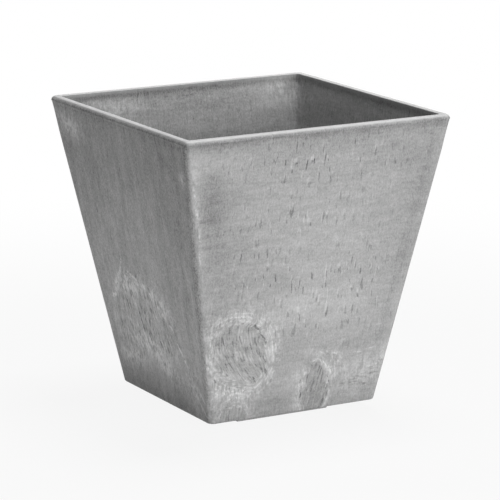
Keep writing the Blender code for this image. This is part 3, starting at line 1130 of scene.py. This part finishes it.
    def add_drain(self, pot: Piece) -> None:
        """Raise the boss on the floor and bore the drain hole through it."""
        top = self.floor_top + self.boss_height
        boss = add_cylinder(self.boss_radius, self.floor_top - self.floor_thickness / 2, top)
        with editing():
            pick(boss, Element.EDGES, at_height(top))
            round_off(self.boss_height / 3, self.edge_steps)
        merge_shape(pot, boss, Joining.ADD)
        merge_shape(pot, add_cylinder(self.drain_radius, 0.0, self.floor_top * 2), Joining.CUT)

    def divide_walls(self, pot: Piece) -> None:
        """Divide the walls into small cells, so that their marks can stand out and lie back."""
        low = self.foot_height + self.base_edge_radius
        high = self.rim_top - self.rim_outer_radius
        rows = round((high - low) / self.row_height)
        levels = [low + (high - low) * row / rows for row in range(1, rows)]

        def long_and_level(edge: object) -> bool:
            """Whether an edge runs level along most of a wall."""
            first, second = (vert.co for vert in edge.verts)
            return abs(first.z - second.z) < SAME_PLACE and (first - second).length > self.base_width / 2

        activate(pot)
        with editing():
            for level in (*levels, high - self.cove_step):
                bpy.ops.mesh.select_all(action="SELECT")
                bpy.ops.mesh.bisect(plane_co=(0, 0, level), plane_no=(0, 0, 1))
            pick(pot, Element.EDGES, long_and_level)
            bpy.ops.mesh.subdivide(number_cuts=self.columns)

    def mark_skin(self, pot: Piece) -> None:
        """Write the skin's attributes and move its points to the marks' relief."""
        mesh = pot.data
        count = len(mesh.vertices)
        points = np.empty(count * 3, np.float32)
        mesh.vertices.foreach_get("co", points)
        points = points.reshape(-1, 3).astype(float)
        values = {name: np.zeros(count) for name in ATTRIBUTES}
        flow = points.copy()
        moved = points.copy()
        reach = np.abs(points[:, :2]).max(axis=1)
        outer_half = self.outer_half(points[:, 2])
        is_outer = outer_half - reach < self.outer_skin
        for wall in Wall:
            out = np.array(wall.value, float)
            along = np.array((-out[1], out[0]))
            faces_wall = points[:, :2] @ out >= reach - SAME_PLACE
            for direction, side, marks in (
                (1, is_outer, self.outer_marks[wall]),
                (-1, ~is_outer, self.inner_marks[wall]),
            ):
                here = np.nonzero(faces_wall & side)[0]
                across = points[here, :2] @ along / MM
                height = points[here, 2] / MM
                half = outer_half[here] / MM
                below_rim = self.rim_top / MM - height
                # Each wall's skin gets the rim's lip and the painted shade just under it.
                lip, under_lip_shade = self.lip(below_rim), self.under_lip_shade(below_rim)
                skin = MouldedSkin(across, height, half, lip, under_lip_shade, marks)
                for name, numbers in skin.values().items():
                    values[name][here] = numbers
                flow[here, :2] -= np.outer(skin.bent() * MM, along)
                away = direction * skin.relief() * self.room(half - np.abs(across), below_rim) * MM
                if direction == 1:
                    away -= self.cove(below_rim)
                moved[here, :2] += np.outer(away, out)
        moved = np.clip(moved, *(np.array(corner) for corner in CAD_BOX))
        mesh.vertices.foreach_set("co", moved.astype(np.float32).ravel())
        for name, numbers in values.items():
            mesh.attributes.new(name, "FLOAT", "POINT").data.foreach_set("value", numbers)
        for ground, places in ((Ground.MIX, flow), (Ground.WALL, points)):
            attribute = mesh.attributes.new(ground.value, "FLOAT_VECTOR", "POINT")
            attribute.data.foreach_set("vector", places.ravel())
        mesh.update()

    def lip(self, below_rim: np.ndarray) -> np.ndarray:
        """1 on the rim's rounded lip, and 0 below it. The lip takes its wall's lip tone, with less grain and
        less contrast, and the painted shade under the lip stops at it.
        """
        return soft_step(below_rim, *self.lip_fade_mm)

    def under_lip_shade(self, below_rim: np.ndarray) -> np.ndarray:
        """How much darker the wall is painted just under the lip: painted shade cast by the rim's lip."""
        below = np.maximum(below_rim, self.under_lip_shade_below_rim_mm)
        return self.under_lip_shade_tone * soft_bump(below, self.under_lip_shade_below_rim_mm, self.under_lip_shade_fade_mm)

    def cove(self, below_rim: np.ndarray) -> np.ndarray:
        """How far the wall draws in under the rim's rounded lip, in metres."""
        below_lip = below_rim - self.rim_outer_radius / MM
        step = soft_step(below_lip, 0.0, self.cove_step / MM)
        return self.cove_depth * step * soft_step(below_lip, *self.cove_fade_mm)

    def room(self, from_corner: np.ndarray, below_rim: np.ndarray) -> np.ndarray:
        """1 over most of a wall, falling to 0 at its corners, base and rim, where the shape is kept."""
        from_base = self.wall_height / MM - below_rim
        room = soft_step(from_corner, *self.room_corner_mm) * soft_step(from_base, *self.room_base_mm)
        return room * soft_step(below_rim, *self.room_rim_mm)

    def build(self, finish: Material) -> Piece:
        """Make the pot.

        Args:
            finish: The material that it is moulded from.

        Returns:
            The finished pot.
        """
        pot = self.join_walls()
        self.round_edges(pot)
        self.add_feet(pot)
        self.add_drain(pot)
        self.divide_walls(pot)
        self.mark_skin(pot)
        pot.data.materials.clear()
        pot.data.materials.append(finish)
        finish_piece(pot, "pot", "pot_shell")
        return pot


# The studio --------------------------------------------------------------------------------------


@dataclass(frozen=True)
class Softbox:
    """A soft lamp and the place that it points at."""

    name: str
    place: Place
    aim: Place
    size: float
    watts: float


@dataclass
class Studio:
    """Pale floor, soft lamps, plain world and the camera."""

    floor_size: float = 12.0
    floor_drop: float = 0.0002
    floor_paint: str = "a8a8a8"
    floor_roughness: float = 0.9
    floor_glow: float = 0.90
    floor_fade: Pair = (0.25, 0.9)
    ambient: float = 0.05
    focal_px: float = 2889.5
    frame_px: float = 500.0
    sensor_mm: float = 36.0
    yaw_deg: float = -29.06
    pitch_deg: float = 12.95
    roll_deg: float = -0.13
    distance: float = 2.476
    aside: float = 0.002
    above: float = 0.1195
    target: Place = (0.0, 0.0, 0.0074)
    lamps: tuple[Softbox, ...] = (
        Softbox("lamp_front_low", (0.5, -2.5, 0.35), (0.0, 0.0, 0.1), 1.2, 50.0),
        Softbox("lamp_overhead", (0.42, 0.1, 2.4), (0.0, 0.0, 0.1), 0.9, 60.0),
        Softbox("card_left", (-0.25, 0.0, 0.002), (-0.25, 0.0, 1.0), 0.22, 0.15),
    )

    def add_camera(self) -> None:
        """Place the camera where the pot's own edges say it stood."""
        yaw, pitch, roll = (math.radians(a) for a in (self.yaw_deg, self.pitch_deg, self.roll_deg))
        level = math.cos(pitch)
        back = Vector((math.sin(yaw) * level, -math.cos(yaw) * level, math.sin(pitch)))
        right = Vector((math.cos(yaw), math.sin(yaw), 0.0))
        up = back.cross(right)
        right_rolled = right * math.cos(roll) + up * math.sin(roll)
        up_rolled = up * math.cos(roll) - right * math.sin(roll)
        data = bpy.data.cameras.new("camera")
        data.sensor_width = self.sensor_mm
        data.lens = self.focal_px / self.frame_px * self.sensor_mm
        camera = bpy.data.objects.new("camera", data)
        bpy.context.scene.collection.objects.link(camera)
        place = Vector(self.target) + back * self.distance
        camera.location = place + right_rolled * self.aside + up_rolled * self.above
        matrix = camera.matrix_world.to_3x3()
        matrix.col[0], matrix.col[1], matrix.col[2] = right_rolled, up_rolled, back
        camera.rotation_euler = matrix.to_euler()
        bpy.context.scene.camera = camera

    def is_seen(self, tree: Tree) -> Socket:
        """1 for rays that show the background itself: from the camera, or by gloss or through glass."""
        rays = add_node(tree, "ShaderNodeLightPath").outputs
        glossy_too = calculate(tree, "MAXIMUM", rays["Is Camera Ray"], rays["Is Glossy Ray"])
        return calculate(tree, "MAXIMUM", glossy_too, rays["Is Transmission Ray"])

    def add_floor(self) -> None:
        """A plain pale floor that keeps the pot's shadow."""
        bpy.ops.mesh.primitive_plane_add(size=self.floor_size, location=(0, 0, -self.floor_drop))
        floor = bpy.context.object
        floor.name = floor.data.name = "studio_floor"
        material, tree, shader = new_material("painted_studio_floor")
        shader.inputs["Base Color"].default_value = linear_rgb(self.floor_paint)
        shader.inputs["Roughness"].default_value = self.floor_roughness
        glow = add_node(tree, "ShaderNodeEmission", {}, {"Strength": 1.0})
        place = add_node(tree, "ShaderNodeTexCoord").outputs["Object"]
        length = add_node(tree, "ShaderNodeVectorMath", {"operation": "LENGTH"}, {0: place})
        far = ramp(tree, length.outputs["Value"], *self.floor_fade)
        fade = weigh(tree, [(far, 1.0 - self.floor_glow)], self.floor_glow)
        inputs = {0: times(tree, fade, self.is_seen(tree)), 1: shader.outputs[0], 2: glow.outputs[0]}
        mixed = add_node(tree, "ShaderNodeMixShader", {}, inputs)
        tree.links.new(mixed.outputs[0], tree.nodes["Material Output"].inputs["Surface"])
        floor.data.materials.append(material)

    def add_world(self) -> None:
        """Even light from all round, and white behind everything."""
        world = bpy.data.worlds.new("studio_world")
        world.use_nodes = True
        tree = world.node_tree
        background = tree.nodes["Background"]
        background.inputs["Color"].default_value = (1, 1, 1, 1)
        inputs = {"Value": self.is_seen(tree), "To Min": self.ambient, "To Max": 1.0}
        strength = add_node(tree, "ShaderNodeMapRange", {}, inputs)
        tree.links.new(strength.outputs["Result"], background.inputs["Strength"])
        bpy.context.scene.world = world

    def add_lamps(self) -> None:
        """Hang the soft lamps."""
        for lamp in self.lamps:
            data = bpy.data.lights.new(lamp.name, "AREA")
            data.shape = "SQUARE"
            data.size = lamp.size
            data.energy = lamp.watts
            light = bpy.data.objects.new(lamp.name, data)
            bpy.context.scene.collection.objects.link(light)
            light.location = lamp.place
            towards = Vector(lamp.aim) - Vector(lamp.place)
            light.rotation_euler = towards.to_track_quat("-Z", "Y").to_euler()

    def build(self) -> None:
        """Set up the whole studio."""
        self.add_camera()
        self.add_floor()
        self.add_world()
        self.add_lamps()
        bpy.context.scene.view_settings.view_transform = "Standard"


def dress_node(node: str, finish: Material) -> None:
    """Give a plain solid whose shape is right a better finish."""
    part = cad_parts[node]
    part.data.materials.clear()
    part.data.materials.append(finish)
    log.info("%s: dressed", node)


def main() -> None:
    """Build the studio and every piece, in order."""
    logging.basicConfig(level=logging.INFO, format="%(name)s: %(message)s")
    Studio().build()
    PotShell().build(StoneFilledResin().build())
    plastic = MouldedPlastic().build()
    rubber = MouldedPlastic(
        name="black_rubber_moulded",
        colour="1c1c1c",
        worn="2a2a2a",
        roughness=0.62,
        ior=1.52,
        grain_mm=1.1,
        smear_mm=12.0,
    ).build()
    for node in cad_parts:
        if node not in ("pot_shell", "drain_plug"):
            dress_node(node, plastic)
    dress_node("drain_plug", rubber)


if __name__ == "__main__":
    main()
